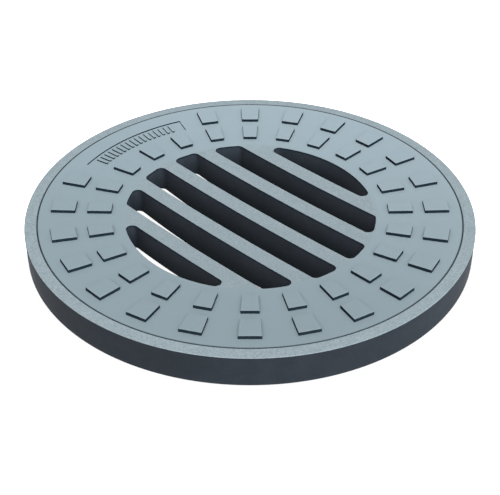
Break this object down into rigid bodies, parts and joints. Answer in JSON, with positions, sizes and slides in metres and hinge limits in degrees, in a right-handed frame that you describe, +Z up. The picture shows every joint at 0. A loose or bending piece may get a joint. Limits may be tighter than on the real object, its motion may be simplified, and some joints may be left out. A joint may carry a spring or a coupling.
{
  "type": "slotted manhole cover",
  "caption": "Round slotted cast-iron manhole cover: a dished grate with raised tread blocks, loose in a low ring frame with rubber seat pads.",
  "frame": {"origin": "on the cover's axis, level with the flat undersides of the grate's bars, its lowest point", "axes": "+Z up out of the ground, +X across the slots, +Y along the slots towards the sunk panel"},
  "size_m": [0.68, 0.68, 0.0646],
  "materials": {
    "frame_iron": "matte",
    "grate_iron": "matte",
    "pad_rubber": "matte"
  },
  "bodies": {
    "frame": {"frame": "frame_iron", "seat_pad_1": "pad_rubber", "seat_pad_2": "pad_rubber", "seat_pad_3": "pad_rubber", "seat_pad_4": "pad_rubber", "seat_pad_5": "pad_rubber", "seat_pad_6": "pad_rubber"},
    "grate": {"grate": "grate_iron"}
  },
  "joints": [
    {"name": "grate_lift", "type": "slide", "parent": "frame", "child": "grate", "axis": [0, 0, 1], "range_m": [0, 0.08]}
  ]
}
